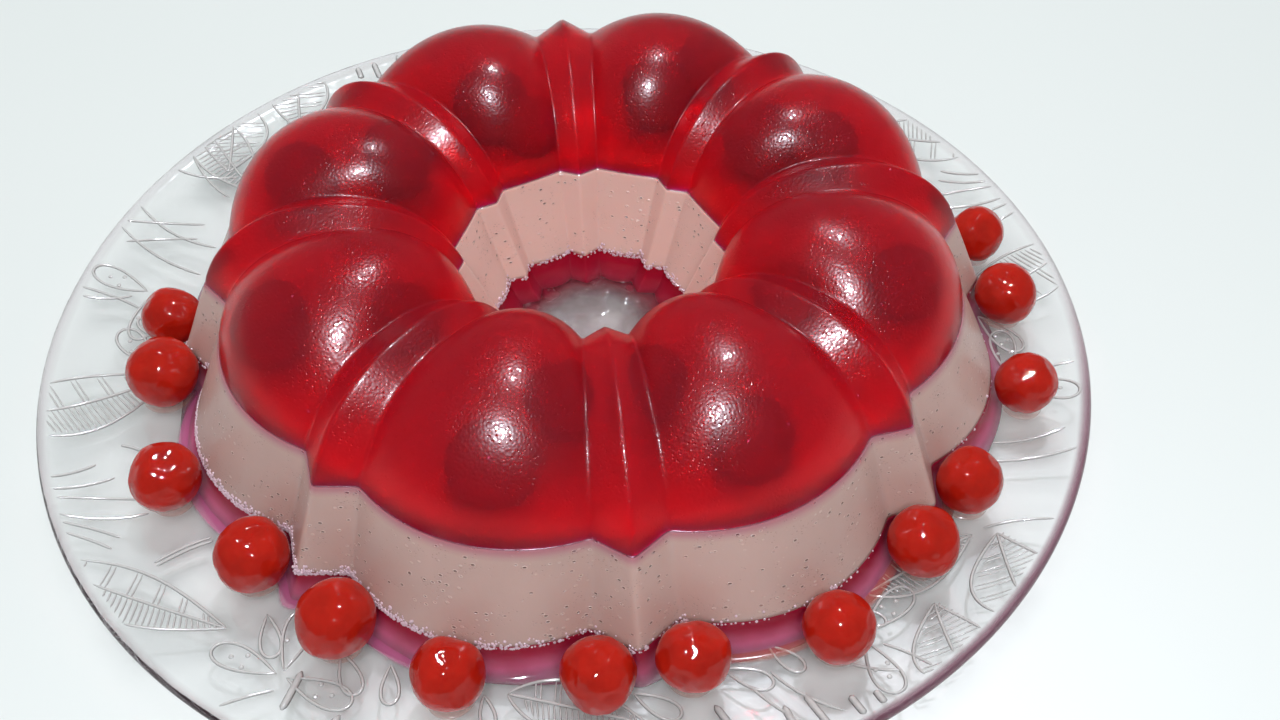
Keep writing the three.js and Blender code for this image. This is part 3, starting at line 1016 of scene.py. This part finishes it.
def cherry_points(rng, directions, radius, pit, pit_depth):
    """A ball whose radius swells and dents in soft waves, with flats where it was pressed, and a
    round pit where the stem was."""
    swell = 0.042 * waves(directions, rng.integers(1 << 30), 2.8)
    dents = 0.022 * waves(directions, rng.integers(1 << 30), 1.3)
    folds = -0.008 * np.abs(waves(directions, rng.integers(1 << 30), 0.6))
    flats = unit(rng.normal(size=(3, 3)))
    reach = (directions @ flats.T).max(1)
    pressed = -0.35 * np.maximum(reach - 0.86, 0)
    away = np.arccos(np.clip(directions @ pit, -1, 1))
    hollow = pit_depth * np.exp(-((away / 0.3) ** 2))
    lip = 0.3 * pit_depth * np.exp(-(((away - 0.55) / 0.2) ** 2))
    share = 0.995 + swell + dents + folds + pressed + lip - hollow
    return directions * (radius * share)[:, None]


class MakeCherries(bpy.types.Operator):
    """Glossy candied cherries round the foot of the jelly"""

    bl_idname = "jelly.cherries"
    bl_label = "Cherry wreath"

    def execute(self, context):
        """Each rests on the plate's face, and its underside is flattened 0.2 mm over it."""
        sizes, colours = settings(context)
        skin = cherry_skin(colours)
        rng = np.random.default_rng(24)
        directions, faces = ball(40, 60)
        for number, (angle, distance, diameter) in enumerate(CHERRY_PLACES, 1):
            node = f"cherry_{number:02d}"
            lean, turn = rng.uniform(0.2, 0.8) * math.pi, rng.uniform(0, 2 * math.pi)
            pit = np.array([-math.sin(turn) * math.cos(lean), math.cos(turn) * math.cos(lean),
                            math.sin(lean)])
            radius = diameter * MM / 2
            points = cherry_points(rng, directions, radius, pit, rng.uniform(0.02, 0.09))
            x, y = polar(angle, distance)
            rest = plate_face(sizes, math.hypot(x, y) + radius / 3)
            points += [x, y, rest + radius * 0.985]
            lowest = rest + 0.2 * MM
            z = points[:, 2]
            points[:, 2] = np.where(z < lowest, lowest - (lowest - z) * 0.1, z)
            put_mesh(node + "_skin", points, faces, skin, "cherry", node)
        return {"FINISHED"}


class MakeSyrup(bpy.types.Operator):
    """Syrup round the foot of each cherry, juice by the jelly, and a film in the hole that is juice
    by the wall and painted shade in the middle
    """

    bl_idname = "jelly.syrup"
    bl_label = "Syrup"

    def mound(self, sizes, middle, outline, share, rise):
        """A closed low mound on the plate: its outline is drawn in towards the middle by each
        share in turn, at the height of the matching rise."""
        xy = middle + (outline - middle)[None] * share[:, None, None]
        z = plate_skin(sizes, xy[..., 0], xy[..., 1]) + rise[:, None]
        floor = plate_skin(sizes, *middle)
        return between_poles([*middle, floor + rise[0]], np.concatenate([xy, z[..., None]], -1),
                             [*middle, floor + rise[-1]])

    def pools(self, sizes):
        """Low mounds under the cherries: each rises with the square of the way in from its rim,
        and its outline swells in soft waves."""
        rng = np.random.default_rng(3)
        ring = circle(40)
        share = np.array([0.99, 1.0, 0.92, 0.83, 0.74, 0.66])
        rise = np.array([-0.05, 0.03, 0.16, 0.45, 0.95, 1.6]) * MM
        shapes = []
        for angle, distance, diameter in CHERRY_PLACES:
            middle = polar(angle, distance)
            swell = waves(ring, rng.integers(1 << 30), 3)
            reach = diameter * MM * (0.33 + 0.02 * swell)[:, None]
            shapes.append(self.mound(sizes, middle, middle + ring[:, :2] * reach, share, rise))
        return joined(shapes)

    def film(self, sizes):
        """The thin film over the glass in the ring's hole, from wall to wall: juice near the wall,
        and a grey sheet of painted shade in the middle. It is 0.1 mm thick and rises with the
        fourth power of the way out to 0.8 mm at the wall."""
        share = chain([1.0], np.linspace(1.0, 0.06, 12))
        rise = chain([-0.05], 0.1 + 0.7 * share[1:] ** 4) * MM
        return self.mound(sizes, RING_CENTRE, foot_line("inner", 0.8), share, rise)

    def juice(self, sizes, first, last):
        """A flat bead of juice along the purple foot, from the first angle to the last."""
        line = foot_line("outer", 1.2)
        away = bearing(line)
        line = even(line[(away > first) & (away < last)], 120)
        return beads(line[None], 4.0 * MM, 0.4 * MM, sizes)

    def execute(self, context):
        sizes, _ = settings(context)
        level = levels(sizes)[0]
        put_mesh("syrup_pools", *self.pools(sizes), syrup(), "cherry")
        put_mesh("cherry_juice", *self.juice(sizes, -84, -34),
                 foot_juice("cherry_juice", (0.66, 0.16, 0.11), 0.45, level), "cherry")
        put_mesh("purple_juice", *self.juice(sizes, -176, -112),
                 foot_juice("purple_juice", (0.62, 0.14, 0.34), 0.6, level), "purple_jelly")
        put_mesh("juice_and_shade_in_hole", *self.film(sizes), hole_juice_and_shade(), "purple_jelly")
        return {"FINISHED"}


class MakeFoam(bpy.types.Operator):
    """Fine foam that set along the cream's lower edges"""

    bl_idname = "jelly.foam"
    bl_label = "Foam"

    def bubbles(self, side, rng, count, base):
        """Bubbles on the wall just over its foot, thick where the weight of their place is high:
        the weight falls with the height and changes round the ring. Outside it is greatest at
        the front left, and in the hole it is least at the right."""
        rows = 8
        loops = wall_loops(cream_walls(side, np.linspace(0, 0.08, rows)),
                           base / MM + np.linspace(-0.3, 2.0, rows))
        places = loops.reshape(-1, 3)
        away = bearing(places)
        patch = smooth_step(-0.4, 1.0, waves(places, 12, 0.05))
        if side == "outer":
            patch = patch * 0.07 + np.exp(-(((away + 137) / 32) ** 2))
        else:
            patch = 0.35 + patch * (1 - 0.8 * np.exp(-((away / 40) ** 2)))
        up = np.repeat(np.arange(rows), loops.shape[1])
        weight = patch * np.exp(-up / 2.2)
        pick = rng.choice(len(places), count, p=weight / weight.sum())
        radii = rng.uniform(0.16, 0.48, count) * MM
        jitter = rng.normal(size=(count, 3)) * [0.7, 0.7, 0.12] * MM
        along = unit(np.roll(loops, -1, 1) - loops).reshape(-1, 3)[pick]
        slide = (jitter * along).sum(1, keepdims=True) * along
        return places[pick] + slide + [0, 0, 1] * jitter[:, 2:], radii

    def execute(self, context):
        sizes, colours = settings(context)
        base = levels(sizes)[1]
        rng = np.random.default_rng(16)
        both = [self.bubbles(side, rng, count, base)
                for side, count in (("outer", 2200), ("inner", 1400))]
        places, radii = (chain(*k) for k in zip(*both))
        put_mesh("foam_bubbles", *scatter(*ball(4, 7), places, radii), foam(colours), "cream_jelly")
        return {"FINISHED"}


class MakeAirBubbles(bpy.types.Operator):
    """Small air bubbles caught under the skin of the red layer"""

    bl_idname = "jelly.air_bubbles"
    bl_label = "Air bubbles"
    count = 60

    def execute(self, context):
        sizes, _ = settings(context)
        rng = np.random.default_rng(41)
        skin = arch_loops("outer", levels(sizes)[2] / MM, 40)[8:34].reshape(-1, 3)
        places = skin[rng.choice(len(skin), self.count, replace=False)]
        radii = rng.uniform(0.15, 0.45, self.count) * MM
        inward = unit(np.array([*RING_CENTRE, 0.03]) - places)
        places = places + inward * (radii[:, None] + 0.4 * MM)
        put_mesh("air_bubbles", *scatter(*ball(6, 10), places, radii), air(), "red_jelly")
        return {"FINISHED"}


class MakeSunkCherries(bpy.types.Operator):
    """Cherries that were laid in the mould and are sunk in the red jelly"""

    bl_idname = "jelly.sunk_cherries"
    bl_label = "Sunk cherries"

    def execute(self, context):
        sizes, _ = settings(context)
        level = levels(sizes)[2]
        rng = np.random.default_rng(7)
        directions, faces = ball(24, 36)
        shapes = []
        for angle, distance, height, diameter in SUNK_PLACES:
            pit = unit(rng.normal(size=3))
            points = cherry_points(rng, directions, diameter * MM / 2, pit, 0.12)
            middle = [*polar(angle, distance, BACK_SQUASH), level + height * MM]
            shapes.append((points + middle, faces))
        put_mesh("sunk_cherries", *joined(shapes), sunk_skin(level, level + 20 * MM), "cherry")
        return {"FINISHED"}


class MakeStage(bpy.types.Operator):
    """Pale floor, soft lamps and the camera"""

    bl_idname = "jelly.stage"
    bl_label = "Stage"

    def lamp(self, name, place, size, power, mirrored):
        """A disk lamp that looks at the jelly. It gives the light, or only its bluish image
        shines."""
        data = bpy.data.lights.new(name, "AREA")
        data.shape, data.size, data.energy = "DISK", size, power
        data.color = (0.86, 0.90, 1.0) if mirrored else (1, 1, 1)
        lamp = bpy.data.objects.new(name, data)
        lamp.visible_glossy, lamp.visible_diffuse = mirrored, not mirrored
        lamp.visible_transmission = False
        lamp.location = place
        way = Vector((0, 0, 0.04)) - Vector(place)
        lamp.rotation_euler = way.to_track_quat("-Z", "Y").to_euler()
        bpy.context.scene.collection.objects.link(lamp)

    def floor(self, colours):
        f = Finish("pale_floor")
        body = Vector(colours.floor)
        tone = f.blend(f.noise(3, 2).above(0.3, 0.7), body * 0.985, body)
        mesh = bpy.data.meshes.new("floor")
        side, drop = 4.0, -0.0003
        mesh.from_pydata([(-side, -side, drop), (side, -side, drop), (side, side, drop),
                          (-side, side, drop)], [], [(0, 1, 2, 3)])
        mesh.materials.append(f.output(f.shader({"Base Color": tone, "Roughness": 0.5})))
        floor = bpy.data.objects.new("floor", mesh)
        bpy.context.scene.collection.objects.link(floor)

    def camera(self):
        """Camera from its azimuth, elevation and roll, and its distance from the target. The
        picture's width, the focal length and the shift of its middle are in pixels."""
        azimuth, elevation, roll = -9.0422, 47.0296, 1.4499
        target, distance = (0.02752, -0.04152, 0.0394), 0.39766
        width, focal_length, shift = 1280, 1513.251, (-46.459, -5.887)
        data = bpy.data.cameras.new("camera")
        data.sensor_width = 36
        data.lens = 36 * focal_length / width
        data.shift_x, data.shift_y = (k / width for k in shift)
        data.clip_start, data.clip_end = 0.01, 20
        camera = bpy.data.objects.new("camera", data)
        place = Matrix.Translation(target)
        for angle, axis in ((azimuth, "Z"), (90 - elevation, "X"), (roll, "Z")):
            place @= Matrix.Rotation(math.radians(angle), 4, axis)
        camera.matrix_world = place @ Matrix.Translation((0, 0, distance))
        bpy.context.scene.collection.objects.link(camera)
        bpy.context.scene.camera = camera

    def execute(self, context):
        scene = context.scene
        stage = scene.jelly_stage
        glint, soft = 0.08, 1.0  # the lamps' diameters
        self.floor(scene.jelly_colours)
        self.lamp("front_glint", (-0.09, -0.51, 1.03), glint, stage.glint_power, True)
        self.lamp("second_glint", (0.23, 0.41, 1.58), glint, stage.second_power, True)
        self.lamp("soft_lamp_in_front", (0.0, -0.8, 1.3), soft, stage.soft_power, False)
        self.lamp("soft_lamp_behind", (0.05, 0.75, 1.4), soft, stage.soft_power, False)
        world = bpy.data.worlds.new("surroundings")
        world.use_nodes = True
        back = world.node_tree.nodes["Background"]
        back.inputs["Color"].default_value = (0.93, 0.98, 1.0, 1)
        back.inputs["Strength"].default_value = stage.sky
        world.cycles.sampling_method = "NONE"
        scene.world = world
        scene.view_settings.view_transform = "Standard"
        scene.cycles.caustics_reflective = False
        scene.cycles.blur_glossy = 0.0
        scene.cycles.use_light_tree = False
        self.camera()
        return {"FINISHED"}


OPERATORS = (MakeStage, MakePlate, MakePressedLeaves, MakePurpleLayer, MakeCreamLayer, MakeFoam,
             MakeRedLayer, MakeSunkCherries, MakeAirBubbles, MakeCherries, MakeSyrup)


class JellyPanel(bpy.types.Panel):
    """Buttons and sizes of the ring jelly"""

    bl_idname = "VIEW3D_PT_jelly"
    bl_label = "Ring jelly"
    bl_space_type = "VIEW_3D"
    bl_region_type = "UI"
    bl_category = "Jelly"

    def draw(self, context):
        for operator in OPERATORS:
            self.layout.operator(operator.bl_idname)
        for group in (context.scene.jelly_sizes, context.scene.jelly_colours,
                      context.scene.jelly_stage):
            box = self.layout.box()
            for name in type(group).__annotations__:
                box.prop(group, name)


GROUPS = {"jelly_sizes": JellySizes, "jelly_colours": JellyColours, "jelly_stage": StageSettings}


def register():
    for cls in (*GROUPS.values(), *OPERATORS, JellyPanel):
        bpy.utils.register_class(cls)
    for name, cls in GROUPS.items():
        setattr(bpy.types.Scene, name, bpy.props.PointerProperty(type=cls))


def unregister():
    for name in GROUPS:
        delattr(bpy.types.Scene, name)
    for cls in (JellyPanel, *reversed(OPERATORS), *reversed(GROUPS.values())):
        bpy.utils.unregister_class(cls)


def main():
    register()
    for operator in OPERATORS:
        name = operator.bl_idname.split(".")[1]
        getattr(bpy.ops.jelly, name)()


if __name__ == "__main__":
    main()
